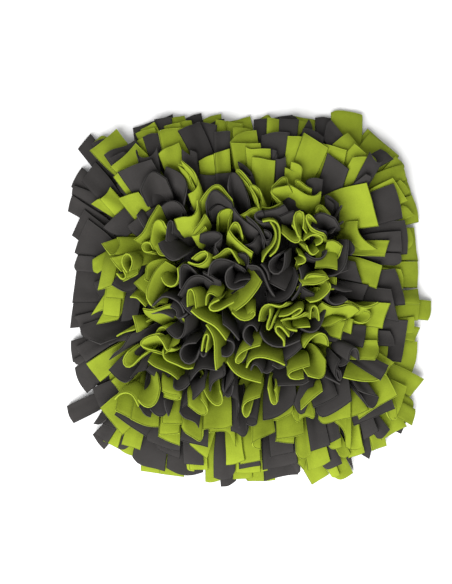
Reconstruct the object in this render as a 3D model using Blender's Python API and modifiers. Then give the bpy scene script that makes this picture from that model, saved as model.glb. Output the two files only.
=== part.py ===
"""Snuffle mat: a flat base sheet with courses of fleece strips tied through it.

The mat lies on a surface.  Its origin is the centre of the base's underside,
+X is to the right, +Y to the far side and +Z is up.  Lengths are in metres.

Each strip is knotted through the base, so that its tail leaves the base narrow
and spreads to its full cut width.  The tails of the outer courses lean out
over the base's edge and lie flat.  Each course further in stands steeper,
and the strips of the crown stand upright, curled into U and S folds
with pockets between them.
"""
import bpy
import math

# ---------------------------------------------------------------- sizes
FLEECE = 0.0020          # thickness of the fleece
BASE_HALF = 0.150        # half the side of the base sheet
BASE_CORNER = 0.055      # its corner radius
BASE_THICK = 0.0030
GAP = 0.0003             # between a strip's foot and the base
STRIP_W = 0.030          # cut width of a strip
SIDE_GAP = 0.0020        # least gap between neighbouring tails of a comb
KNOT_W = 0.0150          # width of a strip at its knot
BAND_H = 0.0035          # height of the band of knots that joins a comb
FOOT_Z = BASE_THICK + GAP
PILE_DRIFT = (0.0110, 0.0130)   # how far the crown stands off the base's centre

# Courses of tails from the edge inwards.  half and corner give the rounded
# square that the knots lie on; a tail leaves it at rise and ends at tip
# (degrees above the surface); side and corner_n are the tails of one side
# and of one corner; curl is how far a tail's middle is bowed; steps is the
# number of sections along a tail; drift is the share of PILE_DRIFT that the
# course stands off the centre.
COURSES = [
    # name      half    corner  rise   tip    length  side corner_n curl  steps drift first
    ("edge",    0.1350, 0.0850, 30.0, -31.0,  0.0750,  4,   6,    0.0016,  3,  0.0,  "green"),
    ("outer",   0.1090, 0.0700, 45.0,  -3.0,  0.0800,  3,   5,    0.0030,  4,  0.2,  "dark"),
    ("middle",  0.0840, 0.0560, 70.0,  27.0,  0.0800,  2,   5,    0.0036,  3,  0.6,  "green"),
    ("inner",   0.0600, 0.0420, 84.0,  61.0,  0.0720,  2,   3,    0.0036,  3,  1.0,  "dark"),
]

# Where the edge course ends, as the mat's outline: how far it reaches from
# the centre in each direction (degrees anticlockwise from +X).
OUTLINE = [
    # direction  reach
    (0.0,    0.192), (22.5,  0.199), (45.0,  0.223), (67.5,  0.210),
    (90.0,   0.196), (112.5, 0.208), (135.0, 0.234), (157.5, 0.210),
    (180.0,  0.191), (202.5, 0.206), (225.0, 0.226), (247.5, 0.210),
    (270.0,  0.199), (292.5, 0.213), (315.0, 0.221), (337.5, 0.201),
]

# Tails that reach past or fall short of that outline.
ODD_TAILS = [
    # sector  tail  extra reach
    ("east",       1,  -0.008),
    ("east",       2,   0.005),
    ("northeast",  1,  -0.010),
    ("northeast",  4,   0.008),
    ("north",      2,   0.006),
    ("northwest",  2,   0.012),
    ("northwest",  4,  -0.010),
    ("west",       1,  -0.006),
    ("southwest",  1,   0.010),
    ("southwest",  3,  -0.008),
    ("south",      2,   0.006),
    ("southeast",  2,  -0.009),
    ("southeast",  4,   0.006),
]

SECTORS = ["east", "northeast", "north", "northwest",
           "west", "southwest", "south", "southeast"]

# Strips of the crown.  x and y place the strip from the crown's middle, facing
# turns the open side of its fold, height is where its tip ends, lean is how
# far it leans out.
CROWN = [
    # name  fold  colour    x        y       facing  height  lean
    ("01", "U", "green", -0.0360,  0.0350,  200.0,  0.069,  0.0030),
    ("02", "S", "dark",  -0.0115,  0.0365,  100.0,  0.072,  0.0022),
    ("03", "U", "dark",   0.0125,  0.0355,   60.0,  0.072,  0.0022),
    ("04", "S", "green",  0.0365,  0.0350,   20.0,  0.069,  0.0030),
    ("05", "S", "dark",  -0.0370,  0.0110,  170.0,  0.071,  0.0022),
    ("06", "U", "green", -0.0125,  0.0120,  300.0,  0.074,  0.0008),
    ("07", "S", "dark",   0.0125,  0.0115,   70.0,  0.076,  0.0008),
    ("08", "U", "green",  0.0370,  0.0110,   10.0,  0.072,  0.0022),
    ("09", "U", "dark",  -0.0365, -0.0130,  220.0,  0.071,  0.0022),
    ("10", "S", "green", -0.0120, -0.0125,  150.0,  0.074,  0.0008),
    ("11", "U", "dark",   0.0125, -0.0125,  250.0,  0.075,  0.0008),
    ("12", "S", "green",  0.0370, -0.0130,  330.0,  0.071,  0.0022),
    ("13", "S", "dark",  -0.0360, -0.0365,  240.0,  0.068,  0.0030),
    ("14", "U", "green", -0.0120, -0.0370,  280.0,  0.071,  0.0022),
    ("15", "S", "green",  0.0120, -0.0370,  200.0,  0.071,  0.0022),
    ("16", "U", "dark",   0.0365, -0.0365,  310.0,  0.068,  0.0030),
]
FOLD_WIDTH = 0.0176      # of a U fold, across its open side
FOLD_DEPTH = 0.0076      # from its middle to its back
FOLD_TURN = 118.0        # degrees that a U fold turns each way from its back
S_WIDTH = 0.0190         # of an S fold
S_SWING = 0.0056         # how far it swings to each side
CROWN_SEGS_UP = 4
CROWN_SEGS_ACROSS = 6

COLOURS = {
    "green": (0.270, 0.360, 0.030, 1.0),
    "dark": (0.036, 0.033, 0.032, 1.0),
    "base": (0.030, 0.030, 0.030, 1.0),
}


# ---------------------------------------------------------------- helpers
def clear_objects():
    for obj in list(bpy.data.objects):
        bpy.data.objects.remove(obj, do_unlink=True)


def material(name, colour, roughness=0.95):
    mat = bpy.data.materials.new(name)
    mat.use_nodes = True
    shader = mat.node_tree.nodes["Principled BSDF"]
    shader.inputs["Base Color"].default_value = colour
    shader.inputs["Roughness"].default_value = roughness
    shader.inputs["Metallic"].default_value = 0.0
    return mat


def rounded_square(half, corner, share):
    """Point and outward direction at a share (0 to 1) of the way round a
    rounded square, anticlockwise from the middle of its right side."""
    straight = half - corner
    arc = math.pi / 2 * corner
    perimeter = 8 * straight + 4 * arc
    along = (share % 1.0) * perimeter
    quarter = perimeter / 4
    turn = int(along // quarter)
    along -= turn * quarter
    if along < straight:
        point, facing = (half, along), 0.0
    elif along < straight + arc:
        facing = (along - straight) / corner
        point = (straight + corner * math.cos(facing),
                 straight + corner * math.sin(facing))
    else:
        point, facing = (straight - (along - straight - arc), half), math.pi / 2
    facing += turn * math.pi / 2
    c, s = math.cos(turn * math.pi / 2), math.sin(turn * math.pi / 2)
    return ((point[0] * c - point[1] * s, point[0] * s + point[1] * c),
            (math.cos(facing), math.sin(facing)))


def outline_reach(direction):
    """How far the outline reaches at a direction in degrees."""
    step = 360.0 / len(OUTLINE)
    place = (direction % 360.0) / step
    low = int(place) % len(OUTLINE)
    high = (low + 1) % len(OUTLINE)
    share = place - int(place)
    share = share * share * (3 - 2 * share)
    return OUTLINE[low][1] * (1 - share) + OUTLINE[high][1] * share


def room(half, corner, share, pitch, far):
    """Width that a tail may take at a distance out from the knots, where
    the tails of a corner spread like a fan."""
    ends = []
    for side in (-0.5, 0.5):
        point, out = rounded_square(half, corner, share + side * pitch)
        ends.append((point[0] + out[0] * far, point[1] + out[1] * far))
    return math.dist(ends[0], ends[1]) - SIDE_GAP


def sheet_object(name, verts, faces, mat, collection, thickness=FLEECE):
    """An open surface given the thickness of the cloth."""
    mesh = bpy.data.meshes.new(name)
    mesh.from_pydata(verts, [], faces)
    mesh.materials.append(mat)
    obj = bpy.data.objects.new(name, mesh)
    collection.objects.link(obj)
    solid = obj.modifiers.new("thickness", "SOLIDIFY")
    solid.thickness = thickness
    solid.offset = 0.0
    solid.use_even_offset = True
    solid.thickness_clamp = 0.0
    return obj


def tail_profile(rise, tip, length, steps):
    """Distance out and height along a tail that bends evenly."""
    points = [(0.0, 0.0)]
    out = up = 0.0
    fine = 12
    for i in range(steps):
        for j in range(fine):
            share = (i + (j + 0.5) / fine) / steps
            angle = math.radians(rise + (tip - rise) * share)
            out += math.cos(angle) * length / (steps * fine)
            up += math.sin(angle) * length / (steps * fine)
        points.append((out, up))
    return points


def comb(course, sector_index, collection, mats):
    """One sector of a course: tails joined by the band of their knots."""
    (name, half, corner, rise, tip, length, side_n, corner_n, curl, steps,
     drift, first) = course
    sector = SECTORS[sector_index]
    count = corner_n if sector_index % 2 else side_n
    start = (sector_index - 0.5) / 8.0
    pitch = 1.0 / 8.0 / count
    extras = {row[1]: row[2] for row in ODD_TAILS if row[0] == sector}
    verts, faces = [], []
    previous_right = None
    for k in range(count):
        share = start + (k + 0.5) * pitch
        centre, out = rounded_square(half, corner, share)
        across = (-out[1], out[0])
        tail_length = length
        if name == "edge":
            direction = math.degrees(math.atan2(centre[1], centre[0]))
            reach = outline_reach(direction) + extras.get(k, 0.0)
            dot = centre[0] * out[0] + centre[1] * out[1]
            need = -dot + math.sqrt(dot * dot - centre[0] ** 2
                                    - centre[1] ** 2 + reach ** 2)
            flat = tail_profile(rise, tip, 1.0, steps)[-1][0]
            tail_length = need / flat
        else:
            # the tips of one comb are uneven, every second tail being shorter
            tail_length = length * (1.0 - 0.055 * (k % 2))
        profile = tail_profile(rise, tip, tail_length, steps)
        # rows: foot of the band, top of the band, then along the tail
        knot = min(KNOT_W, room(half, corner, share, pitch, 0.0))
        rows = [(0.0, -BAND_H, knot)]
        for i, (far, high) in enumerate(profile):
            spread = min(1.0, i / (steps * 0.5))
            width = knot + (STRIP_W - knot) * spread
            rows.append((far, high, min(width, room(half, corner, share, pitch, far))))
        ids = []
        for r, (far, high, width) in enumerate(rows):
            bow = curl * max(0, r - 1) / steps * (1 if k % 2 else -1)
            row_ids = []
            for c, u in enumerate((-0.5, 0.0, 0.5)):
                lift = bow if c == 1 else 0.0
                x = (centre[0] + out[0] * far + across[0] * u * width
                     + drift * PILE_DRIFT[0])
                y = (centre[1] + out[1] * far + across[1] * u * width
                     + drift * PILE_DRIFT[1])
                z = FOOT_Z + BAND_H + high + lift
                row_ids.append(len(verts))
                verts.append((x, y, z))
            ids.append(row_ids)
        for r in range(len(ids) - 1):
            for c in range(2):
                faces.append((ids[r][c], ids[r][c + 1],
                              ids[r + 1][c + 1], ids[r + 1][c]))
        if previous_right is not None:
            faces.append((previous_right[0], ids[0][0],
                          ids[1][0], previous_right[1]))
        previous_right = (ids[0][2], ids[1][2])
    # neighbouring combs differ in colour, and so do neighbouring courses
    other = {"green": "dark", "dark": "green"}
    colour = first if sector_index % 2 == 0 else other[first]
    return sheet_object("comb_%s_%s" % (name, sector), verts, faces,
                        mats[colour], collection)


def fold_plan(fold, u):
    """Plan of a curled strip at u, from -1 to 1 across its width."""
    if fold == "U":
        turn = math.radians(FOLD_TURN) * u
        return (-FOLD_DEPTH * math.cos(turn) * 1.15 + FOLD_DEPTH * 0.25,
                FOLD_WIDTH / 2 * math.sin(turn) * (1.0 if abs(u) < 0.9 else 0.97))
    return (S_SWING * math.sin(math.pi * u), S_WIDTH / 2 * u)


def crown_strip(row, collection, mats):
    """An upright strip, drawn in at its knot and curled above it."""
    name, fold, colour, px, py, facing, height, lean = row
    c, s = math.cos(math.radians(facing)), math.sin(math.radians(facing))
    span = math.hypot(px, py)
    verts, faces = [], []
    for i in range(CROWN_SEGS_UP + 1):
        share = i / CROWN_SEGS_UP
        spread = 0.60 + 0.40 * min(1.0, share / 0.45)
        z = FOOT_Z + (height - FOOT_Z) * share
        away = lean * share ** 1.5
        for j in range(CROWN_SEGS_ACROSS + 1):
            a, b = fold_plan(fold, -1 + 2 * j / CROWN_SEGS_ACROSS)
            a, b = a * spread, b * spread
            # the tip is cut square but sits a little uneven
            tip_z = 0.0012 * math.sin(2.1 * j + px * 900) if i == CROWN_SEGS_UP else 0.0
            verts.append((px + a * c - b * s + away * px / span + PILE_DRIFT[0],
                          py + a * s + b * c + away * py / span + PILE_DRIFT[1],
                          z + tip_z))
    n = CROWN_SEGS_ACROSS + 1
    for i in range(CROWN_SEGS_UP):
        for j in range(CROWN_SEGS_ACROSS):
            faces.append((i * n + j, i * n + j + 1,
                          (i + 1) * n + j + 1, (i + 1) * n + j))
    return sheet_object("crown_strip_%s" % name, verts, faces,
                        mats[colour], collection)


def base_sheet(collection, mats):
    """The flat sheet that every strip is tied through."""
    bpy.ops.mesh.primitive_plane_add(size=2 * BASE_HALF,
                                     location=(0, 0, BASE_THICK / 2))
    obj = bpy.context.active_object
    obj.name = "base_sheet"
    obj.data.materials.append(mats["base"])
    round_off = obj.modifiers.new("corners", "BEVEL")
    round_off.affect = "VERTICES"
    round_off.width = BASE_CORNER
    round_off.segments = 6
    solid = obj.modifiers.new("thickness", "SOLIDIFY")
    solid.thickness = BASE_THICK
    solid.offset = 0.0
    for owner in list(obj.users_collection):
        owner.objects.unlink(obj)
    collection.objects.link(obj)
    return obj


# ---------------------------------------------------------------- the mat
def main():
    clear_objects()
    collection = bpy.data.collections.new("snuffle_mat")
    bpy.context.scene.collection.children.link(collection)
    mats = {key: material("mat_" + key, value) for key, value in COLOURS.items()}
    base_sheet(collection, mats)
    for course in COURSES:
        for sector_index in range(len(SECTORS)):
            comb(course, sector_index, collection, mats)
    for row in CROWN:
        crown_strip(row, collection, mats)


main()
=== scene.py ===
import math

import bpy
import numpy as np
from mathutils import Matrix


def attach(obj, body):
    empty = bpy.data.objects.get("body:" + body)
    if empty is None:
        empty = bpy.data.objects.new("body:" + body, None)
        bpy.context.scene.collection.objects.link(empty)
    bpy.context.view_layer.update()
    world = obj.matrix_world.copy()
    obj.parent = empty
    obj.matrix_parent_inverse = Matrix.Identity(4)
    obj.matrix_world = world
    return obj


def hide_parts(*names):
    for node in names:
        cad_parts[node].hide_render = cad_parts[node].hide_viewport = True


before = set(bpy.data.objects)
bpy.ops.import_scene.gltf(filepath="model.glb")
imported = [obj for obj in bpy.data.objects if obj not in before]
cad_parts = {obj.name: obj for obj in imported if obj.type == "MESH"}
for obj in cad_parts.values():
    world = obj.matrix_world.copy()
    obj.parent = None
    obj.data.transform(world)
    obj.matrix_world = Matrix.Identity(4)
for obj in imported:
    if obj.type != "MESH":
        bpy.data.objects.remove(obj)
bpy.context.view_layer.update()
RNG = np.random.default_rng(7)

# ---------------------------------------------------------------- the view of the photo
PX = 0.0011  # metres to a pixel at the height of the floor
MID = (226.0, 292.0)  # middle of the image
ORIGIN = (250.0, 297.0)  # where the middle of the base lies in the image
TILT = math.radians(85.0)
DISTANCE = 1.3
FORWARD = np.array([0.0, math.cos(TILT), -math.sin(TILT)])
UP = np.array([0.0, math.sin(TILT), math.cos(TILT)])
RIGHT = np.array([1.0, 0.0, 0.0])
AIM = np.array([(MID[0] - ORIGIN[0]) * PX, (ORIGIN[1] - MID[1]) * PX / math.sin(TILT), 0.0])
EYE = AIM - FORWARD * DISTANCE


def world_at(px, py, z):
    """The point at height z that shows at a place in the image."""
    ray = FORWARD * (DISTANCE / PX) + RIGHT * (px - MID[0]) + UP * (MID[1] - py)
    return EYE + ray * ((z - EYE[2]) / ray[2])


# ---------------------------------------------------------------- the strips that show
# One row to a strip: its colour and the height of its cut end in millimetres, the cut end from
# corner to corner as it lies in the image, and after > where the strip comes from: the knot
# itself for a strip that stands, only the way back to it for one that lies.
STRIPS = """
# top left
D4 78,149 90.5,134 >119,186
G5 94,144 101.5,134.5 108,138.5 >125,170
D7 93,145 99,141 106,140 >115,165
G10 90.5,152 101,145 108,138 116.5,129 >135,178
D15 105,157 113,151 124,149 136,141 >135,172
D20 110,162 118,157 126,153 127,156 >130,172
G24 111.5,170 118,165 124,160 131,152 136,144.5 >145,178
G23 115,180 123,172 131,170 139,166 >150,205
D30 119,175 128,171 139,166 152,162 >165,215
D12 82,182 89,173 96,163.5 >118,205
D7 71.5,187 74,180 82,167.5 >110,205
D4 73,190 72,194 72.5,198 >100,205
G18 96,202 99,200 101.5,200.5 >120,215
G22 102,200 107,196 110,189 >125,215
G34 118,199 128,196 139,193.5 >160,235
D42 140,190 144,179 151,168 159,173 166,178 >165,215
D5 133,128 139,127 146,124 155,121 >150,160
D5 155,121 165,118 172.5,114.5 >170,160
D7 155,121 163,119.5 172,119 >165,160
G8 143,130 148,127.5 153,125.5 >160,150
G10 136,135 145,132 156,131 >155,155
G12 138,142 145,139.5 >152,170
D14 145,140 151,136.5 158,137 >160,165
D28 137,152 138,158 144,161 151,160 155,155 158,149 >152,185
# top
G6 170,120 176,118 183,116.5 >188,150
D5 184,120 190,117 196,114.5 201,113.5 >200,150
G10 166,129 173,127 179,126 >178,150
G9 177,125 184,123 190,122.5 >190,150
G14 159,136 165,133 175,132 187,130.5 >178,165
G22 159,157 165,151 172,149 179,145 >182,185
D16 178.5,135.5 186,131.5 193,128 199.5,124.5 >207,165
D10 200,123.5 208,126 217,129 >208,160
G5 203,121 210,117 216,115 221,114.5 >215,150
D7 212,125 217,121.5 221,121 >218,150
G10 217.5,122.5 224,123 230,124 >222,155
G6 223,122 232,122 241,119 250,116.5 >243,150
G12 229,124 235,125 240,125 >236,150
G14 232,131 240,130 250,131.5 >242,155
G16 230,146 234,140 240,135.5 248,133 256,132.5 >247,168
D12 215,136 222,135 229,135 >222,165
G30 199,161 207,157 214,155.5 >210,195
G30 215,156 221,153 228.5,150.5 >225,195
D30 182,151 186,154 189,157 194,158 199,157 197,153 190,151.5 >193,185
G44 191,180 190,173 182,167 175,163 177,161 184,165 191,170 >196,195
G48 181,160 188,166 194,171 197,179 199,187 194,192 188,194 >202,205
D42 166,166 174,169 184,175 188,182 186,192 184,203 >176,215
D34 199,174 208,176 217,175 >208,205
D34 219,174 228,173 >224,205
G52 200,201 205,193 211,187 217.5,181.5 222,187 227,194 232,200 >217,215
D54 206,203 209,194 214,187.5 222,194 232,203 >220,222
D48 228,187 229,176 232,168 239,175 245,186 249,200 >241,215
G22 230,146 245,146 260,146 >250,180
G26 245,149 250,152 260,151 270,151 >258,182
G34 252,158 258,159 267,161 275,162 >262,195
D40 240,170 247,176 252,179 254,176 248,169 242,163 238,161 >252,195
G46 250,182 243,173 236,166 234,169 240,176 247,184 >252,200
G54 258,206 258,199 253,192 247,185 250,181.5 257,185 262,193 263,200 260,206 >262,218
# top right
D8 254,120 261,120 270,120 >262,155
G5 260,119 265,116 269,114 271,119 >268,150
G9 271,120 279,121 >273,150
D6 272,119 277,117 285,116.5 292.5,115 >285,150
D8 288,121 291,117 295,118 298,122 >292,150
D12 279,121 288,122 298,123 >286,160
G6 293,116.5 301,118 309,119 315,120 >302,150
G12 299,123 304,123.5 309,124.5 >302,155
D9 309,123 311,128 312,135 >300,150
D7 316,118 322,117 330,118.5 >322,150
D14 330,122 326,124 324,132 322,143 >338,150
G7 331,113 335,110.5 345,111 355,113 362,115.5 >345,160
D14 302,132 306,131 313,134 320,138 323,141 >306,170
G26 303,136 310,140 318,145.5 327,151 >298,185
G20 291,140 299,140.5 >291,170
D16 261,139 266,137 272,135.5 280,135 289,136 >274,168
D32 271,151 276,151 279,153 275,156 272,158 275,161 281,161 285,158 >279,190
G36 285,167.5 292,171 299,174 304,171 301,165 291,162 >294,195
G44 312,188.5 305,186 301,181 296,178 293,180 298,186 304,190 >299,207
D38 306,181 310,178 317,178 323,179.5 >312,205
D26 327,154 334,160 341,166 347.5,172 >325,200
G20 318,144 330,147 338,150 346,153 >328,180
G13 331,147 339,140 346.5,135 >358,165
G17 353,147 359,152 366,159 >335,178
G26 353,160 358,159.5 365,159.5 >338,202
G46 272,187 279,180 285.5,174 288,181 288,187 >281,205
G52 280,202 278,198.5 272,196 269.5,191 272,187.5 280,187 288,185 >284,210
G48 288,184 296,188 304,194 312,197 318,195 321,191 >300,218
G48 316,208 320,203 325,209 330,215 >317,222
D42 339,203 333,198 327,193.5 323,195 329,200 334,204 >330,228
D20 381,150 387,153.5 393,159 >358,172
D26 368,155 372,163 376,167 382,161.5 >356,195
G24 370,157 376,163 373,166 >362,180
D34 367,177 372,179 366,184 >355,190
G6 367.5,129 376,137 388,147 399,156 >360,172
G8 369,134 380,143 390,151 >358,170
G5 393,158 399,161 405,165.5 403,169 >375,190
G9 402,165.5 404,174 405,182 >370,185
G5 404,176 407.5,180 406,184 >375,195
G12 390,181.5 398,192 406,203 >370,205
D16 391,187 396,199 400,212 401,220 >360,215
G7 397,183 404,187 408,194 >380,205
G5 405,181 409,188 411,194 >380,205
G6 411,196 415,204 418,213 418.5,222 >380,220
G9 400,207 406,208 414,217 >380,222
G34 365.5,185 370,199 374,213 378,227 >342,209
# right
D12 403,222 406,232 407,244 406,255 >358,242
D18 399,232.5 400,243 400.5,255 >360,246
D20 399,254 401.5,260 400.5,264 393,266 >358,258
G40 359,221 357,227 359,234 364,240 371,245 377.5,249 >338,242
G30 388.6,242 386,249 384,256.5 >348,247
G30 382,266 379,277 376,289 >345,264
D44 350,240 356,249 351,255 >335,250
D34 355,262 358,272 362,283 >338,268
D28 368,286 365,293 362,301 >340,288
D14 393,270 398,282 402,296 403,306 >360,292
D18 389,291 391,302 394,313 397,323 >362,302
G6 414,228 415,239 415.5,250 418,261 >380,246
G9 409,229 412,236 413.5,243 408,249 >385,242
G6 416.5,262 418,274 417,288 >380,276
G12 399,270 403,279 402,290 >380,278
G7 417,289 417.5,299 417,306 >380,300
G4 431,301 431,311 430,317 428,320.5 >395,309
G9 418,300 417.5,310 416,321 >382,312
# right lower
G50 322,302 328,306 334,308 341,306 347,303.5 354,304 360,310 >322,322
G46 345,300 352,302 358,306 365,307.5 372,306 379,302 >340,318
G26 389,304.5 385.5,313 382.5,321 381,329 >348,312
G40 350,319.5 356,322 361,325 368,322 372,318 373,313 369,310 360,311 >338,313
G44 324,327 332,326 339,322 346,317 349,319 344,325 342,332 340.5,339.5 >322,322
D36 366,326 365,337 362,348 >335,332
G22 377,328.5 376.5,334 376.5,340 >348,332
G20 375,341 376,347 378,350 375,356 372,361 >348,350
D14 406,321 405,334 403.5,347 400,362.5 >362,338
D18 389,333 392,338 393,345 >368,338
G5 412,320 413,326 412.5,331 >385,328
G7 419,330 416.5,335 414,340.5 >388,330
G6 417,342 417,352 415.5,362 411.5,373.5 >378,352
G36 394,363 390,366.5 387,370 384,376 >360,350
D37 386,368 383,374 380,379 >350,354
G31 341,378.5 352,381 362,382.5 372,382.5 379,379.5 >371,350
# lower left
D4 67,406 68,412 70,418 74,423 >110,396
D3 95,424 103,424.5 108,420 >118,395
D14 93,388 96,399 101,409 >128,385
G16 102,408 113,421.5 124,434.5 >142,395
G10 123,444 132,446 141,449.5 >145,400
G6 106,441 111,443.5 118,447 >125,410
D5 118,446 121,449.5 126,449 130,446 >138,415
G4 122,450 127,453.5 133,455.5 >140,415
D5 93,434.5 98,443 104,449.5 >128,412
D8 95,434 102,438 109,443 >125,408
D9 106,424 112,426.5 118,428 >125,398
G29 117,411 127,416 138,422 >135,372
G31 132,419 142,424.5 151,427 159,427 >148,385
D26 116,415 125,421.5 135,428.5 147,436.5 >150,395
G42 114,400 118,395 124,392.5 131,394 135,399.5 138,407 >140,380
G46 138,401 143,407 149,409.5 155,406 159,398 160,387 >148,370
D34 141,408 146,416 149,417 >150,385
D38 151,410 156,416 162,417.5 167,415 168,405 >160,380
D20 147,440 158,445 170,449.5 180,451 >170,405
D10 133,456 136,462.5 143,466 154,467.5 165,471 >155,420
G3 141,471 152,472.5 163,474 >155,425
G3 160,473.5 172,475.5 184,477 >172,430
# bottom
D14 157,447 170,455 180,458 >172,410
D6 167,467.5 175,472.5 184,476 194,475.5 203,472.5 >188,425
D16 184.5,463 194,464 204,465 >192,418
G12 190,469 199,469.5 208,469.5 >197,425
G9 187,464 187.5,470 190,470.5 >193,430
G8 206,482 210,483 216,481.5 221,479.5 >213,420
G22 190,443.5 198,451 207,458.5 >212,410
D24 181,440 190,442.5 200,444.5 208,447 >197,400
G26 159,436 167,440.5 180,445.5 >172,395
G30 160,434.5 170,434.5 180,433.5 >172,392
G33 163,423.5 173,424 183,424 >173,385
G34 182,427 184,432.5 191,436 197,440 201,444 203,439 203,431 >197,400
G32 209,433 214,431.5 221,430.5 228,431 231,436 234,444 236,447 >222,400
G38 203,430 208,428 217,429.5 226,428.5 232,425.5 >217,385
G18 226,464.5 234,464 240,461 245,459 >232,415
G16 240,463 250,461.5 260,459 >247,415
D12 239,468 249,466 260,464 >246,420
G9 236,472 248,472.5 260,471 >247,425
G6 233,479 243,478.5 252,477.5 >243,430
G4 246,479 248,482.5 250,480 >250,440
G4 250,481 256,481 262,480.5 >255,435
D10 214,477 221,480 228,479.5 232,476 235,470 >225,425
D4 223.5,486.5 228,486.5 234,482 >225,440
G46 203,388 206,396 212,404 218,408 223,405 223,398 220,391 >212,372
G42 188,406 195,411.5 200,416 206,417 209,412 206,405 201,399.5 >200,375
D36 180,412 183,418 190,420 196,422 199,428 >195,385
G48 162,391.5 170,395 179,395 184,397 181,401 172,400 164,397 >172,370
D40 164,401 165,409 168,416 >175,380
D44 205,388 197,397 189,403 182,408 >200,370
D48 223,388 224,395 228,399 232,395 233,386 >230,370
D38 232,397 240,401 238,412 237,420 239,428 >235,385
D30 231,431 237,432 242,438 246,437 248,428 >240,400
D34 246,424 250,427 256,426 258,421 254,418 248,419 >255,395
G44 260,397 251,400 244,402 241,408 243,415 247,422 250,411 >255,380
G28 260,438 253,439.5 251,443.5 253,448 260,449 >255,410
# bottom right half
G46 268,388 270,397 271,404 274,407 278,405 277,397 274,390 >275,375
D36 263,420.5 271,420 280,415.5 288,409.5 296,402 >280,378
G32 273,420 275,422 284,417 292,413.5 293,410 >285,385
G28 292,412 295,424 299,421 >298,395
G38 299,421 303,416.5 308,415.5 311,418 313,421 316,416 313,408 >305,390
G42 301,410 309,402.5 316,396 323,391 >306,378
D36 293,404 299,416 304,413 >305,392
D34 313,408 324,403.5 337,396 >318,375
D30 316,412 319,420 330,415 342,407 350,401 >330,380
G34 318,419 321,425.5 330,423 337,420 350,418 >335,390
D24 310,451 319,448 329,444.5 >312,405
D20 328,443 332,441.5 336.5,439 >325,405
G30 252,443 257,439.5 266,435.5 275,431.5 >262,405
G20 275,441 284,442.5 293,443 >287,405
G24 276,439 288,437.5 296,436 303,433.5 >288,400
G16 295,452 298,458.5 303,458.5 309,455 310,452 >302,415
D10 262,469 272,467.5 284,465.5 297,461.5 >275,425
D13 270,456.5 278,454.5 293,451.5 >278,415
D5 264,481 275,477.5 288,475 298,474.5 >277,435
D7 291,464 295,470 298,474.5 299,472 >293,440
G8 248,472 258,471.5 267,469.5 >256,430
G3 256,481 266,481 275,480 >266,440
G9 296,461 300,466 >306,425
G4 312,484.5 320,479.5 329,474 >300,445
G12 307,470 316,467.5 322,465 329,460 >308,425
D8 321,463.5 325.5,470.5 333,466.5 341,463 >318,430
G22 328,446 331,450 338,448 >330,415
G16 336,451 342,460 350,454 >325,420
G4 329,473 333,478.5 337,476 >318,440
G6 335,477 339,480.5 346,478 353,473 >325,440
G36 334,422 341,426.5 345,433 346,441 345,448 350,450 >345,400
# left, lower half
D5 74,299 72,313 70,328 >120,310
D9 75,318 79,322 81,330 >118,315
D12 82,326 79.5,334 84,338 94,342 104,346 >125,325
D5 71,341 71,351 73,362 >115,340
D9 76,348 82,355.5 88,363 >118,335
D7 74,362 78.5,366.5 84,360.5 >112,345
D5 75,368 76.5,377 80,385 87,393 >108,360
G18 87,364 93,372.5 101,382 >132,345
D30 109,370 116,377.5 122,382.5 128,384 131,380 >145,352
G26 114,384 117,387 120,391 >140,365
G42 128,352 122,359 121.5,364 125,368 129,369.5 133,366 138,359 147,353 >152,345
D38 109,360 113,354 121,350 127,341 131,334 >150,330
D34 111,345 117,342 125,341 >140,325
G38 117,336.5 123,333 130,331 135,330 >150,318
G42 133,317 135,323 136.5,331 >155,322
G20 96,314 98,313 102,311.5 >118,285
G24 104,315.5 112,317 120,318 >112,278
G16 98,325.5 108,323.5 119,320.5 >125,292
D30 121,322 130,321 138,315 >135,285
G46 156,351 148,350 142,347 137,343.5 143,339 150,335 160,334 >165,350
G50 157,336 162,341 165,347 167,353 171,348 >175,345
D40 146,370 151,374.5 158,379 168,380 >170,357
D34 131,378 137,373 146,370 >150,352
# left, upper half
D5 73,196 70,203 68,211 >105,225
D7 86,211 79,222 72,235.5 >112,250
D11 90,221 84,231 79,242 75,253 >115,262
D5 79,256 73,267 77,271.5 >110,268
D7 78,262 76,276 73.5,292 72.5,303 >118,285
D14 94,284 97,291 100,299 >125,280
G24 99,291.5 106,290.5 114,288.5 >106,240
G18 94,262 94,274 98,274.5 >115,255
G27 108,299.5 116,299.5 124,300 >116,262
G30 102.5,245 106.5,251 111,257 >128,243
G34 117,237.5 121,242.5 119,250 114,256.5 >146,247
G38 111,260 117,267.5 122,273 >150,255
G54 126.5,272 122,267 120.5,260 123.5,253.5 128.5,252 132.5,257.5 133,265 129.5,270.5 >136,266
G42 116,273.5 120,279 124,281 126,276 122,270 >142,268
G43 124,281 131,277.5 137,274 >140,255
D26 103,228 109,233 117,236 127,237 >135,215
D34 128,228 130,232 138,236.5 >150,218
D28 113,287 120,291 126,294.5 136,291 >135,265
D40 137,216 141,224 145,229 >150,215
G44 158,204 153,213 148,221 146,229 141,236 134,240 >160,235
G46 150,243 151,233 153,222 157,218 163,220 165,226 >165,245
G42 148,243 153,245 157,251 159,256 166,256 >168,240
G44 151,243.5 145,241.5 141,245 142,250 146,253.5 152,252 >160,250
G36 135,284.5 140,289.5 145,294 >160,270
G42 165,258 156,259 149,262 145,265 146,272 145,280 >165,275
G52 165,260.5 158,266 153,274 149,283 145.5,292 146,300 150,304 >165,290
G44 130,297 137,297 141,302 146,307 >150,290
G50 143,308.5 150,311 158,309 167,304.5 174,303 179.5,307 180,313 >172,325
G46 154,307 160,303 164,304 >165,290
# crown, left
G54 161,276.5 162,282 167,286.5 173,288 178,284 179,276 177.5,268 >183,276
D50 166,241 167,230 168,220 172,218 174,224 172,233 >185,240
G52 197,200 198,208 195,215 190,218 184,215.5 174,219 >195,238
G56 205,214 201,222 195,229 190,233 190.5,237 195,237.5 201,231 205,226 >205,243
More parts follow.
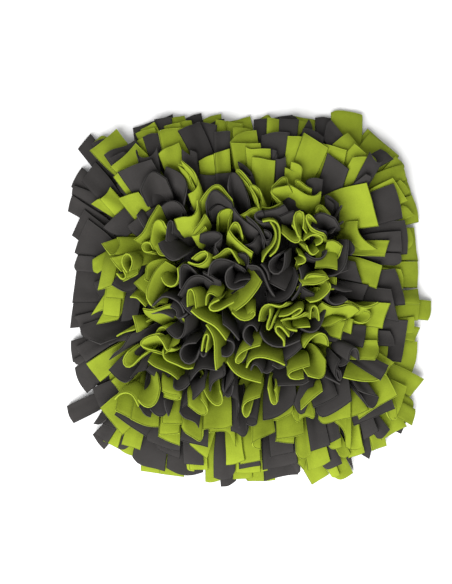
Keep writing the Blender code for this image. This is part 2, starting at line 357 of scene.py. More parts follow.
G46 218,222 217.5,212 224,209 230,207 234,209 231,215 229,219.5 >224,233
D46 209,212 217,203 226,207 >220,222
D44 161,206 167,201 175,200 181,204 185,211 >180,222
D54 158,243 160,250 166,257 172,262 179,259 >192,244
D60 200,234 209,231 219,231 224.5,236 222,241 214,242.5 213,248 218,252 >214,252
G60 229,231 232,224 236,220 240,227 242,236 >237,240
G62 229,230 233,237 240,243 247,249 253,252.5 >238,256
D56 234,208 239,216 246,222 253,226 259,231 >245,238
G54 240,215.5 246,213 251,208.5 257,207 262,207.5 >250,228
D58 244,245 250,245 255,241 256,236 259,234.5 >258,252
G64 188,262 194,265.5 200,266 206,262 210,255 207.5,250 202,250.5 196,255 192,259 >204,266
G62 213,258 220,255 224,249 228,247 232,250 235,257 239,263 >230,262
D64 208,275 209,266 213,260 220,258.5 228,260 236,264 242,268 >227,273
D58 238,254 246,252.5 249,259 248,265 >243,268
D56 180,288 180,275 180,265 184,262 190,267 197,274 >194,282
D58 178,295 183,288 187,279 194,275 201,275 206,278 211,282 >200,290
D58 203,271 210,275 215,278 221,280.5 >214,290
D66 232,267 226,270 225,278 226,286 231,290.5 238,289 244,286 >236,280
D60 249,279 241,279.5 235,283 >246,272
G62 262,281 259,288 253,295 249,301 243,306 237,310 232,312.5 >234,279
G62 187.5,307 187,297 187.5,290 190.5,286 193.5,290 195,299 196,308 >203,298
G60 206,305 206,297 208,292 214,294 219.5,299 >217,288
G66 219,300 212,303 207,306 208,310.5 213,312.5 220,310.5 227,305.5 234,302 >225,297
D54 152,306 158,300 163,294.5 170,297.5 177,300 182,306 184,313 >180,295
# crown, lower left
G62 191,311 196,316 202,320 209,322.5 216,326.5 221,333 226,340 >216,316
G58 206,325 211,331 214.5,339 215,349 214.5,360 216,370 >224,342
G58 201,351 203,342 204.5,334 207.5,331 209.5,335 207,344 206,352 >212,332
G60 232,313 237,318 242.5,322 250,320.5 256,316 257,310.5 253.5,308.5 250,313 246,318 >246,304
D58 182,304 185,309 190,313 >194,300
D50 151,313.5 158,312 166,314 173,318 >176,305
D54 170,307 176,309 178,314 175,319 182,318.5 187,314 >188,302
D50 166,329 171,336 178,341 183,337 185,328 185,318 >196,322
G44 156,333 159,328 164,326.5 168,331 >175,326
G48 166,353 172,349 178,343 >182,328
D56 196,343 189,342 182,345 178.5,352 180,360 186,366 193,365 198,359 200,351 >198,342
G50 163,350 161.5,356 166,361.5 174,363 181,367 188,370.5 193,368 >182,350
G44 148,361 153,366.5 161,369 170,373 176,377 180,383 184,386 >174,356
D54 200,352 202,358 206,356 206,352 >211,340
D50 184,388 190,380 196,373 199,368 204,367.5 212,370 221,371 >206,350
D50 210,391 211,383 217,379.5 224,377 227,373 223,371 >217,360
D48 223,397 226,391 230,385 234,377 >230,368
D58 227,340 233,341 235,346 233,353 228,358 222,356 >228,334
D60 223,324 230,329 235,335 239,340 >230,318
D60 257,331 255,324.5 249,323.5 244,329 242,336 245,342 251,346 >252,322
G56 260,345.5 251,348 243,350.5 236,356 233.5,362 236,366.5 241,364 245,356 >250,338
G50 227,362 231,369 236,374.5 243,378 251,380.5 261,383 >246,356
D48 251,370 252,365 255,363.5 259,367 262,373 >262,353
D53 173,386 175,391 184,390 190,383 >184,370
# crown, right
G54 260,207 268,208.5 275,206.5 281,203 >272,222
D62 262,211 256,212 253.5,216 256,220.5 262,222 268,220.5 >268,232
D60 258,211 268,210.5 278,209 284,205 >276,226
D60 246,216 252,220 258,226 262,233 265,240 >258,244
G64 270,221 275,227 277,236 275,244 269,250 263.5,256 262,262 >269,246
G62 263,222 270,219.5 276,220.5 280,226 280,235 279,245 276.5,253 270,256 >272,236
D56 281,216 287,213 292,211 >287,228
G62 299,236 295,229 293,220 294,212 299,208.5 304,211 304.5,219 303,228 >301,236
G60 281,232 286,236.5 291,241.5 296,244.5 302,242 300,236 295,230 292,225 >291,234
D58 264,230 269,231 272,235 270,240 265,240 >266,250
D64 267,281 276,286.5 285,290.5 >300,240
G48 285,286 290,277 295,268 297,261 >298,268
D62 280,254 272,258 267,263 267,269 271,275 277,276.5 283,273 285,264 285,253 >280,266
D66 247,266 254,265 259,266 263,273 266,282 269,290 273,295 >264,284
D64 261,264 265,268 268,274 269,280 >272,272
D60 268,301 276,303 284,302 291,296 295,288 298,277 >282,290
D58 292,300 297,294 301,286 302,276 299,268 >306,282
G60 299,254.5 304,256.5 306.5,260.5 304,263.5 298,264.5 >298,262
G64 311,217 308,212.5 305,214.5 306,221 310,227.5 316,231 324,233.5 >310,234
D56 312,226 311,219 315,214 321,212 328,215 335,219 >322,232
D62 311,228 318,231 324,231.5 >316,238
G60 304,240 309,236 315,233.5 321,235.5 324,239.5 322,243.5 316,245 >311,242
G62 319,250 316,253.5 312.5,256 308,251.5 306,246 >304,252
D54 305,253 310,258 318,260 325,257 327,250 >312,262
G54 315,268 323,267.5 330,267.5 337,270 >324,244
G57 327,241 333,239.5 338,242.5 342,246.5 >326,264
D50 348,240 348,250 347,260 344,269 339,275 330,276 >325,262
G50 316,212 320,204.5 325,210 330,216 >320,224
D44 335,219 338,213 341,207 >326,226
D46 334,230 337,226 341,223 >324,236
G60 303,284.5 304.5,278 309,273.5 317,274.5 326.5,275.5 >308,286
G61 329,278.5 322,282 316,285 308,284 303,285 >306,280
G58 329,283.5 332,286.5 329,291.5 323,297.5 317,301.5 310,302 >312,292
G44 330,289 336,289.5 336,278 >318,282
D46 337,290 343,292 350,291 >325,284
D54 301,286 306,290 313,293 >304,296
D50 330,292 327,297 329,303 335,306 342,304 348,299.5 >324,298
# crown, lower right
G64 259,321 260,312 262,306.5 267,303.5 272,304.5 276.5,307.5 281,308 284,306 287,302.5 >272,312
G64 270,309 271.5,314 269,320 265.5,327 266.5,332 270,332 272,326 273,320 276,315 >271,320
G64 289,336.5 285,331 281,326 277,324 273.5,327 275,332.5 280,336.5 286,340 284,346 >280,328
G62 279,316 286,316.5 292,313.5 297,309 301.5,306 304.5,309 300,314 292,317.5 >292,312
G62 281,321 287,318.5 294,318.5 300,316.5 306,312.5 >294,320
G60 282,320 283,325 287,329.5 297,331 >289,322
G56 297,327.5 306,327 >296,314
G58 310,319 310,311 312,305 315,304.5 318,309 319,320.5 >308,310
D50 301,329 307,332 313,334 319,330 322,322 326,310 >308,322
G52 304,347.5 308,341 313,336.5 319,332.5 324,333 328.5,339 328,346 >308,338
G48 308,376 316,378.5 324,379 326,371 326,360 >304,352
G50 310,365.5 302,368 294,370.5 287,373 286,376 290,379.5 297,380 304,378.5 >292,354
G54 246.5,367.5 248,361.5 253,357.5 261,356.5 270,359 278,361.5 285,365.5 >266,342
D56 260,332 262,339 267,344 274,347 282,348 290,345 300,340.5 >278,332
D50 285,361 291,357 297,352 302,347 >288,342
D46 262,371 267,374.5 272,370 >262,352
D46 273,366 279,370 286,366 >278,350
D44 275,386 284,385.5 295,384.5 303,386 309,381 >286,360
D46 341,360 337,365 335,373 337,380 341,384 342,379 340,371 >326,358
D44 340,366.5 347,365 350,357 >330,348
D40 327,378 333,381 339,384 >320,360
D44 349,362 350,352 354,346.5 359,350 360,361 >334,342
# lower right
D24 356,391 364,394.5 371,396 375,397.5 >350,370
D20 358,396 364,405 368,411 374,406 376,398 >350,382
G20 357,419.5 368,411 380,404 394,396 >360,372
D16 352,426 366,420 380,413.5 392,409 >362,388
G33 350,417 358,414.5 367,410.5 >345,388
D12 363,440 370,435 376,431 >358,400
D10 376,438 380,439 384,434.5 388,430 >362,410
D6 357,451 362,455 367,458 >370,420
G4 371,450.5 378,448.5 386,446 >370,415
G12 383,412 386,418 391,422.5 395,419 >383,385
G8 415,410 415,416 412,425 >378,400
G3 380,440 390,434 399,428.5 405,426 >372,400
G5 408,397 414,402 413,409 >380,388
G6 424,379.5 417,388 409,397 >380,370
G10 405,387 402,397 398,408 393,419 >366,386
G20 345,447 351,450 357,450 362,447 >349,408
G6 350,457 355,455.5 361,453 >348,420
D8 345,457 349,463 352,468 >342,430
"""

STRIP_LENGTH = 0.075
STRIP_GAUGE = 0.0022
BASE_HALF = 0.150
BASE_CORNER = 0.055
BASE_TOP = 0.0042
STANDING = 0.0395  # a cut end at this height or more belongs to a strip that stands
NU, NV = 10, 18  # points across and along a strip while it settles


def over_base(x, y, margin=0.0):
    """True where a point lies over the base sheet."""
    h, r = BASE_HALF + margin, BASE_CORNER
    dx = np.maximum(np.abs(x) - (h - r), 0.0)
    dy = np.maximum(np.abs(y) - (h - r), 0.0)
    return dx * dx + dy * dy < r * r


def along(points, n):
    """n points evenly along a line of points, its corners rounded."""
    p = np.asarray(points, float)
    if len(p) > 2:
        for _ in range(2):
            q = [p[0]]
            for a, b in zip(p[:-1], p[1:]):
                q += [a * 0.75 + b * 0.25, a * 0.25 + b * 0.75]
            q.append(p[-1])
            p = np.array(q)
    d = np.concatenate([[0.0], np.cumsum(np.linalg.norm(np.diff(p, axis=0), axis=1))])
    t = np.linspace(0.0, d[-1], n)
    return np.stack([np.interp(t, d, p[:, k]) for k in range(p.shape[1])], 1), d[-1]


def smooth(t):
    t = np.clip(t, 0.0, 1.0)
    return t * t * (3.0 - 2.0 * t)


def bezier(a, b, c, d, t):
    t = t[:, None]
    return a * (1 - t) ** 3 + 3 * b * t * (1 - t) ** 2 + 3 * c * t * t * (1 - t) + d * t ** 3


class Strip:
    def __init__(self, colour, kind, tip, root, width, height):
        self.colour, self.kind, self.width, self.height = colour, kind, width, height
        centre = tip.mean(0)
        offset = tip - centre
        chord = centre - root
        flat = np.array([chord[0], chord[1], 0.0])
        run = np.linalg.norm(flat)
        out = flat / run if run > 1e-4 else np.array([1.0, 0.0, 0.0])
        slope = math.atan2(chord[2], max(run, 1e-4))
        reach = np.linalg.norm(chord)
        up = np.array([0.0, 0.0, 1.0])
        if kind == "stand":
            a0 = min(slope + math.radians(RNG.uniform(10, 26)), math.radians(95))
            a1 = slope - math.radians(RNG.uniform(14, 50))
        else:
            a0 = slope + math.radians(RNG.uniform(20, 34))
            a1 = slope - math.radians(RNG.uniform(10, 26))
        bow = 0.46 if kind == "stand" else 0.36
        p1 = root + (out * math.cos(a0) + up * math.sin(a0)) * reach * bow
        p2 = centre - (out * math.cos(a1) + up * math.sin(a1)) * reach * (bow - 0.03)
        v = np.linspace(0.0, 1.0, NV)
        line = bezier(root, p1, p2, centre, v)
        open_by = 0.62 if kind == "stand" else 0.7
        grow = 0.5 + 0.5 * smooth(v / open_by)
        self.grow = grow
        grid = line[:, None, :] + offset[None, :, :] * grow[:, None, None]
        # pleats at the knot that run out along the strip
        u = np.linspace(0.0, 1.0, NU)
        phase, turns = RNG.uniform(0, 6.28), RNG.uniform(1.1, 1.7)
        pleat = np.sin(u * turns * 2 * math.pi + phase)
        depth = width * grow / (math.pi * turns) * np.sqrt(np.maximum(1.0 / grow - 1.0, 0.0))
        depth *= 0.9 if kind == "stand" else 0.5
        side = grid[:, -1] - grid[:, 0]
        normal = np.cross(np.gradient(line, axis=0), side)
        normal /= np.linalg.norm(normal, axis=1, keepdims=True) + 1e-9
        if kind == "stand":
            grid += normal[:, None, :] * pleat[None, :, None] * depth[:, None, None]
        else:  # added once the strip has been laid on the others
            self.relief = pleat[None, :] * (depth + RNG.uniform(0.0002, 0.0010) * smooth(v / 0.6))[:, None]
        self.grid = grid
        self.length = max(np.linalg.norm(np.diff(line, axis=0), axis=1).sum(), 0.03)


def visible_strips():
    made = []
    for row in STRIPS.strip().splitlines():
        row = row.strip()
        if not row or row.startswith("#"):
            continue
        head, *rest = row.split()
        colour, z = head[0], float(head[1:]) / 1000.0
        aim = [float(c) for c in rest[-1][1:].split(",")]
        pts = [[float(c) for c in p.split(",")] for p in rest[:-1]]
        rank = z
        if z >= STANDING:
            z = STANDING + (z - STANDING) * 1.28
        else:  # past the base the ends hang down towards the floor
            far = world_at(*np.mean(pts, 0), z)
            far = max(abs(far[0]), abs(far[1])) - BASE_HALF
            z = min(z, max(0.0035, 0.028 - far * 0.75))
        edge = np.array([world_at(p[0], p[1], z) for p in pts])
        tip, width = along(edge, NU)
        seen = (0.0, 1.0)
        if width < 0.018:  # the rest of the end lies under its neighbours
            add = (0.018 - width) / 2
            seen = (add / 0.018, 1.0 - add / 0.018)
            first, last = edge[0] - edge[1], edge[-1] - edge[-2]
            edge = np.vstack([
                edge[0] + first / np.linalg.norm(first) * add,
                edge,
                edge[-1] + last / np.linalg.norm(last) * add,
            ])
            tip, width = along(edge, NU)
        u = np.linspace(-1.0, 1.0, NU)
        kind = "stand" if rank >= STANDING else "lie"
        if kind == "stand":
            tip[:, 2] += u * RNG.uniform(-0.003, 0.003) + (u * u - 0.4) * RNG.uniform(-0.003, 0.001)
        else:
            tip[:, 2] += u * RNG.uniform(-0.0015, 0.0015) + (0.4 - u * u) * RNG.uniform(-0.001, 0.003) * (1 + z / 0.02)
        centre = tip.mean(0)
        if kind == "stand":
            root = world_at(aim[0], aim[1], 0.005)
            gap = centre - root
            far = np.linalg.norm(gap)
            if far > STRIP_LENGTH * 0.95:
                root = centre - gap * (STRIP_LENGTH * 0.95 / far)
                root[2] = 0.005
        else:
            back = world_at(aim[0], aim[1], z) - centre
            back[2] = 0.0
            back /= np.linalg.norm(back)
            run = math.sqrt(max((STRIP_LENGTH * 0.95) ** 2 - z * z, 0.0004))
            root = centre + back * run
            root[2] = 0.005
            far = max(abs(root[0]), abs(root[1]))
            if far > BASE_HALF - 0.006:
                root[:2] *= (BASE_HALF - 0.006) / far
        s = Strip(colour, kind, tip, root, width, rank)
        s.seen = seen
        made.append(s)
    return made


def hidden_strips():
    """The strips under the ones that show: one from every other knot of the base."""
    made = []
    pitch = 0.024
    for i in range(-6, 7):
        for j in range(-6, 7):
            x = i * pitch + RNG.uniform(-0.004, 0.004)
            y = j * pitch + RNG.uniform(-0.004, 0.004)
            if not over_base(x, y, -0.012):
                continue
            r = math.hypot(x - 0.011, y - 0.013)
            lean = math.radians(12 + 68 * min(r / 0.12, 1.0) + RNG.uniform(-5, 5))
            if r >= 0.075:
                lean = math.radians(RNG.uniform(80, 84))
            a = math.atan2(y - 0.013, x - 0.011) + RNG.uniform(-0.5, 0.5) * (1.0 if r > 0.03 else 6.0)
            if r < 0.085 and (i + j) % 2:
                continue
            length = 0.060 if r > 0.085 else 0.050
            length = min(length, max(0.172 - max(abs(x), abs(y)), 0.02) / math.sin(lean))
            out = np.array([math.cos(a), math.sin(a), 0.0])
            side = np.array([-out[1], out[0], 0.0])
            root = np.array([x, y, 0.005])
            centre = root + out * length * math.sin(lean) + np.array([0, 0, 1.0]) * length * math.cos(lean)
            width = RNG.uniform(0.026, 0.032)
            u = np.linspace(-0.5, 0.5, NU)
            tip = centre[None, :] + side[None, :] * (u * width)[:, None]
            wave = np.sin(u * 2 * math.pi * RNG.uniform(0.6, 1.1) + RNG.uniform(0, 6.28))
            bend = 0.0015 if lean > 0.9 else 0.006
            tip += (out * math.cos(lean) - np.array([0, 0, 1.0]) * math.sin(lean))[None, :] * (wave * bend)[:, None]
            dark = RNG.random() < (0.6 if r > 0.085 else 0.85)
            kind = "stand" if r < 0.075 else "lie"
            s = Strip("D" if dark else "G", kind, tip, root, width, centre[2])
            s.hidden = True
            s.seen = None
            made.append(s)
    return made


# ---------------------------------------------------------------- laying the strips
CELL = 0.002
SPAN = 0.25
CELLS = int(2 * SPAN / CELL)


def dense(grid, k=3):
    v = np.linspace(0, NV - 1, (NV - 1) * k + 1)
    u = np.linspace(0, NU - 1, (NU - 1) * k + 1)
    i = np.minimum(v.astype(int), NV - 2)
    j = np.minimum(u.astype(int), NU - 2)
    a, b = (v - i)[:, None, None], (u - j)[None, :, None]
    g = grid
    return (
        g[i][:, j] * (1 - a) * (1 - b) + g[i + 1][:, j] * a * (1 - b)
        + g[i][:, j + 1] * (1 - a) * b + g[i + 1][:, j + 1] * a * b
    )


def cells(points):
    c = np.clip(((points[..., :2] + SPAN) / CELL).astype(int), 0, CELLS - 1)
    return c[..., 0], c[..., 1]


def stacking(strips):
    """The order the strips are laid in: one whose end shows over another's length lies on it."""
    n = len(strips)
    body, ends = [], []
    for s in strips:
        d = dense(s.grid)
        ix, iy = cells(d[3:-5])
        body.append(set((ix * CELLS + iy).ravel().tolist()))
        if s.seen is None:
            ends.append(None)
            continue
        lo, hi = (int(round(c * (d.shape[1] - 1))) for c in s.seen)
        ix, iy = cells(d[-4:, lo : hi + 1])
        ends.append(set((ix * CELLS + iy).ravel().tolist()))
    under = np.zeros((n, n))  # under[a, b]: how much of a's end lies over b
    for a in range(n):
        if ends[a] is None:
            continue
        for b in range(n):
            if a == b:
                continue
            share = len(ends[a] & body[b]) / len(ends[a])
            if share > 0.12:
                under[a, b] = share
    height = np.array([s.height if s.seen is not None else s.height - 1.0 for s in strips])
    meet = np.array([[len(body[a] & body[b]) > 12 for b in range(n)] for a in range(n)])
    cost = under + 0.03 * meet * (height[:, None] > height[None, :] + 0.002)  # of a laid before b
    hidden = np.array([s.seen is None for s in strips])
    cost[:, hidden] += 1.0 * ~hidden[:, None]
    np.fill_diagonal(cost, 0.0)
    order = [int(i) for i in np.argsort(height, kind="stable")]
    for _ in range(14):
        moved = 0
        for a in range(n):
            at = order.index(a)
            order.pop(at)
            o = np.array(order)
            price = np.concatenate([[0.0], np.cumsum(cost[o, a])])  # the ones under it
            price += np.concatenate([np.cumsum(cost[a, o][::-1])[::-1], [0.0]])  # the ones over it
            best = np.flatnonzero(price < price.min() + 1e-9)
            to = int(best[np.argmin(abs(best - at))])
            if price[at] < price[to] + 1e-9:
                to = at
            moved += to != at
            order.insert(to, a)
        if not moved:
            break
    return [strips[i] for i in order]


def lift(strips, top):
    """A standing end keeps clear of what lies under it; it rises along the line of sight."""
    for s in strips:
        if s.kind != "stand" or s.seen is None:
            continue
        ix, iy = cells(s.grid[-3:])
        need = float(np.percentile(top[ix, iy], 80)) + 0.007
        rise = min(need, 0.073) - float(s.grid[-1, :, 2].mean())
        if rise <= 0:
            continue
        for r in range(NV):
            w = (r / (NV - 1)) ** 1.5
            g = s.grid[r]
            t = rise * w / (EYE[2] - g[:, 2])
            g += (EYE[None, :] - g) * t[:, None]


def lay(strips):
    """Each lying strip in turn comes to rest on those already there, the lowest first."""
    gx, gy = np.meshgrid(*(2 * [(np.arange(CELLS) + 0.5) * CELL - SPAN]), indexing="ij")
    top = np.where(over_base(gx, gy), 0.0032, 0.0)
    order = stacking([s for s in strips if s.kind == "lie"])
    v = np.linspace(0.0, 1.0, NV)
    free = smooth(v / 0.35)[:, None]
    for s in order:
        g = s.grid
        for _ in range(3):
            ix, iy = cells(g)
            need = (top[ix, iy] + 0.0028) * free
            z = np.maximum(g[..., 2], need)
            for _ in range(6):
                z[1:-1] = 0.5 * z[1:-1] + 0.25 * (z[2:] + z[:-2])
                z[:, 1:-1] = 0.6 * z[:, 1:-1] + 0.2 * (z[:, 2:] + z[:, :-2])
                z[:, 0] = 0.7 * z[:, 0] + 0.3 * z[:, 1]
                z[:, -1] = 0.7 * z[:, -1] + 0.3 * z[:, -2]
                z = np.maximum(z, need)
            g[..., 2] = z
        g[..., 2] += s.relief - 0.6 * s.relief.min(1, keepdims=True)
        d = dense(g)
        ix, iy = cells(d[8:])
        np.maximum.at(top, (ix, iy), d[8:, :, 2] + 0.0)
    return top


# ---------------------------------------------------------------- letting them settle
def near_pairs(x, owner, reach):
    cell = np.floor(x / reach).astype(np.int64)
    cell -= cell.min(0) - 1
    dims = cell.max(0) + 2
    key = (cell[:, 0] * dims[1] + cell[:, 1]) * dims[2] + cell[:, 2]
    order = np.argsort(key, kind="stable")
    ranked = key[order]
    first, second = [], []
    n = len(x)
    half = [(0, 0, 0), (1, 0, 0), (0, 1, 0), (0, 0, 1), (1, 1, 0), (1, -1, 0), (1, 0, 1), (1, 0, -1),
            (0, 1, 1), (0, 1, -1), (1, 1, 1), (1, 1, -1), (1, -1, 1), (1, -1, -1)]
    for dx, dy, dz in half:
        look = key + (dx * dims[1] + dy) * dims[2] + dz
        a = np.searchsorted(ranked, look, "left")
        b = np.searchsorted(ranked, look, "right")
        count = b - a
        total = int(count.sum())
        if not total:
            continue
        i = np.repeat(np.arange(n), count)
        start = np.repeat(np.cumsum(count) - count, count)
        j = order[np.arange(total) - start + np.repeat(a, count)]
        keep = owner[i] != owner[j]
        if (dx, dy, dz) == (0, 0, 0):
            keep &= i < j
        i, j = i[keep], j[keep]
        d = x[i] - x[j]
        keep = (d * d).sum(1) < (reach * 1.0) ** 2
        first.append(i[keep])
        second.append(j[keep])
    return np.concatenate(first), np.concatenate(second)


def settle(strips, rounds):
    count = len(strips)
    x = np.stack([s.grid for s in strips])  # strip, along, across, xyz
    start = x.copy()
    width = np.array([s.width for s in strips])
    length = np.array([s.length for s in strips])
    grow = np.stack([s.grow for s in strips])
    across = (width[:, None] * np.clip(0.4 + 0.6 * grow, 0, 1) / (NU - 1))[:, :, None]
    down = (length / (NV - 1))[:, None, None]
    lying = np.array([s.kind == "lie" for s in strips])
    hidden = np.array([getattr(s, "hidden", False) for s in strips])
    owner = np.repeat(np.arange(count), NU * NV)
    weight = np.ones((1, NV, 1, 1))
    weight[:, 0] = 0.0
    weight[:, 1] = 0.3
    gap = 0.0036

    def pull(a, b, rest, k):
        """Brings the points of a and b to their distance in the flat cloth."""
        d = x[b] - x[a]
        n = np.sqrt((d * d).sum(-1, keepdims=True)) + 1e-9
        move = d * ((n - rest[..., None]) / n) * (0.5 * k)
        x[a] += move
        x[b] -= move

    s = slice
    for r in range(rounds):
        if r % 4 == 0:
            flat = x.reshape(-1, 3)
            i, j = near_pairs(flat, owner, gap * 1.15)
            both = (lying[owner[i]] & lying[owner[j]])[:, None]
            lean = np.where(both, np.array([0.35, 0.35, 1.0]), 1.0)
        flat = x.reshape(-1, 3)
        d = flat[i] - flat[j]
        n = np.sqrt((d * d).sum(1)) + 1e-9
        push = np.maximum(gap - n, 0.0) / n * 0.5
        d = d * push[:, None] * lean
        total = np.zeros_like(flat)
        near = np.bincount(i, push > 0, len(flat)) + np.bincount(j, push > 0, len(flat))
        for k in range(3):
            total[:, k] = np.bincount(i, d[:, k], len(flat)) - np.bincount(j, d[:, k], len(flat))
        flat += total / np.maximum(near, 1.0)[:, None] ** 0.6
        x = flat.reshape(x.shape)
        for _ in range(2):
            for odd in (0, 1):
                a = (s(None), s(odd, NV - 1, 2))
                b = (s(None), s(odd + 1, NV, 2))
                m = x[a].shape[1]
                b = (s(None), s(odd + 1, odd + 1 + 2 * m, 2))
                pull(a, b, np.broadcast_to(down, x[a].shape[:3]), 0.8)
                a = (s(None), s(None), s(odd, NU - 1, 2))
                m = x[a].shape[2]
                b = (s(None), s(None), s(odd + 1, odd + 1 + 2 * m, 2))
                pull(a, b, np.broadcast_to(across, x[a].shape[:3]), 0.8)
        # stiffness: each point towards the middle of its neighbours along the strip
        mid = 0.5 * (x[:, 2:] + x[:, :-2])
        x[:, 1:-1] += (mid - x[:, 1:-1]) * 0.07
        mid = 0.5 * (x[:, :, 2:] + x[:, :, :-2])
        x[:, :, 1:-1] += (mid - x[:, :, 1:-1]) * np.where(lying, 0.014, 0.012)[:, None, None, None]
        # the roots are tied, and the cut ends stay where the photo shows them
        x = start + (x - start) * weight
        hold = np.where(hidden, 0.02, 0.30)[:, None, None]
        x[:, -1, :, :2] += (start[:, -1, :, :2] - x[:, -1, :, :2]) * hold
        x[:, -2, :, :2] += (start[:, -2, :, :2] - x[:, -2, :, :2]) * hold * 0.5
        x[:, -1, :, 2] += (start[:, -1, :, 2] - x[:, -1, :, 2]) * hold[..., 0] * 0.35
        floor = np.where(over_base(x[..., 0], x[..., 1]), BASE_TOP, 0.0013)
        x[..., 2] = np.maximum(x[..., 2], floor)
        x[..., 2] = np.minimum(x[..., 2], 0.0775)
    for _ in range(2):
        x[:, 1:-1] = 0.6 * x[:, 1:-1] + 0.2 * (x[:, 2:] + x[:, :-2])
        x[:, :, 1:-1] = 0.7 * x[:, :, 1:-1] + 0.15 * (x[:, :, 2:] + x[:, :, :-2])
    for k, one in enumerate(strips):
        one.grid = x[k]


# ---------------------------------------------------------------- cloth with a thickness
def cubic(grid, at):
    """The grid at fractional rows, along its first axis, as a smooth line through its points."""
    n = grid.shape[0]
    i = np.minimum(at.astype(int), n - 2)
    t = (at - i)[:, None, None]
    p0, p1 = grid[np.maximum(i - 1, 0)], grid[i]
    p2, p3 = grid[i + 1], grid[np.minimum(i + 2, n - 1)]
    return 0.5 * (2 * p1 + (p2 - p0) * t + (2 * p0 - 5 * p1 + 4 * p2 - p3) * t ** 2
                  + (3 * p1 - p0 - 3 * p2 + p3) * t ** 3)


def solid(strip, nu, nv):
    """Vertices and faces of one strip: both faces of the cloth and its rounded cut edges, with the painted edge
    highlight and painted shade at each vertex.
    """
    u = np.concatenate([[0.0, 0.035], np.linspace(0.035, 0.965, nu - 2)[1:-1], [0.965, 1.0]]) * (NU - 1)
    v = np.concatenate([np.linspace(0.0, 0.985, nv - 1), [1.0]]) * (NV - 1)
    g = cubic(strip.grid, v)
    g = cubic(g.transpose(1, 0, 2), u).transpose(1, 0, 2)
    du, dv = np.gradient(g, axis=1), np.gradient(g, axis=0)
    n = np.cross(dv, du)
    n /= np.linalg.norm(n, axis=2, keepdims=True) + 1e-12
    half = STRIP_GAUGE / 2 * (1.22 if strip.kind == "stand" else 1.05)
    taper = np.ones((nv, nu, 1))
    taper[:, 0] = taper[:, -1] = 0.72
    taper[-1] = np.minimum(taper[-1], 0.72)
    upper, lower = g + n * half * taper, g - n * half * taper
    count = nu * nv
    ring = [(r, 0) for r in range(nv)] + [(nv - 1, c) for c in range(1, nu)]
    ring += [(r, nu - 1) for r in range(nv - 2, -1, -1)] + [(0, c) for c in range(nu - 2, 0, -1)]
    ring = np.array(ring)
    eu = du / (np.linalg.norm(du, axis=2, keepdims=True) + 1e-12)
    ev = dv / (np.linalg.norm(dv, axis=2, keepdims=True) + 1e-12)
    out = np.zeros((len(ring), 3))
    for k, (r, c) in enumerate(ring):
        if c == 0:
            out[k] -= eu[r, c]
        if c == nu - 1:
            out[k] += eu[r, c]
        if r == nv - 1:
            out[k] += ev[r, c]
    mid = g[ring[:, 0], ring[:, 1]] + out * 0.00035
    verts = np.concatenate([upper.reshape(-1, 3), lower.reshape(-1, 3), mid])
    r, c = np.meshgrid(np.arange(nv - 1), np.arange(nu - 1), indexing="ij")
    a = (r * nu + c).ravel()
    top = np.stack([a, a + 1, a + nu + 1, a + nu], 1)
    under = top[:, ::-1] + count
    flat = ring[:, 0] * nu + ring[:, 1]
    nxt = np.roll(flat, -1)
    m = 2 * count + np.arange(len(ring))
    mn = np.roll(m, -1)
    side_a = np.stack([flat, nxt, mn, m], 1)
    side_b = np.stack([m, mn, nxt + count, flat + count], 1)
    # painted highlight: the cut edges and the rim between the faces are coloured lighter, standing in for fuzzy edges
    # catching the light
    cut = np.zeros((nv, nu))
    cut[1:, 1] = cut[1:, -2] = cut[-2, 1:-1] = 0.05
    cut[1:, 0] = cut[1:, -1] = cut[-1] = 0.25
    cut = np.concatenate([cut.ravel(), cut.ravel(), np.full(len(ring), 0.8)])
    # painted shade: the colour darkens towards the knot, more on lying strips, standing in for the shade the strips
    # cast on each other there
    far = v / (NV - 1)
    if strip.kind == "lie":
        painted_shade = 0.62 * smooth((0.92 - far) / 0.55)
    else:
        painted_shade = 0.30 * smooth((0.78 - far) / 0.60)
    painted_shade = np.repeat(painted_shade[:, None], nu, 1)
    painted_shade = np.concatenate([painted_shade.ravel(), painted_shade.ravel(), painted_shade[ring[:, 0], ring[:, 1]]])
    return verts, np.concatenate([top, under, side_a[:, ::-1], side_b[:, ::-1]]), cut, painted_shade


def joined(name, strips):
    verts, faces, edge_highlights, tones, painted_shades, base = [], [], [], [], [], 0
    for s in strips:
        fine = not getattr(s, "hidden", False)
        v, f, c, painted_shade = solid(s, 13 if fine else 9, 22 if fine else 14)
        painted_shades.append(painted_shade)
        verts.append(v)
        edge_highlights.append(c)
        tones.append(np.full(len(v), RNG.uniform(-1.0, 1.0)))
        faces.append(f + base)
        base += len(v)
    verts, faces = np.concatenate(verts), np.concatenate(faces)
    mesh = bpy.data.meshes.new(name)
    mesh.vertices.add(len(verts))
    mesh.vertices.foreach_set("co", verts.astype(np.float32).ravel())
    mesh.loops.add(faces.size)
    mesh.loops.foreach_set("vertex_index", faces.astype(np.int32).ravel())
    mesh.polygons.add(len(faces))
    mesh.polygons.foreach_set("loop_start", np.arange(0, faces.size, 4, dtype=np.int32))
    mesh.polygons.foreach_set("use_smooth", np.ones(len(faces), bool))
    mesh.update(calc_edges=True)
    # "cut" carries the painted highlight on the cut edges, "depth" the painted shade towards the knots, "tone" a random
    # tone for each strip
    for kept, values in (("cut", edge_highlights), ("tone", tones), ("depth", painted_shades)):
        mesh.attributes.new(kept, "FLOAT", "POINT").data.foreach_set("value", np.concatenate(values).astype(np.float32))
    obj = bpy.data.objects.new(name, mesh)
    bpy.context.scene.collection.objects.link(obj)
    return obj


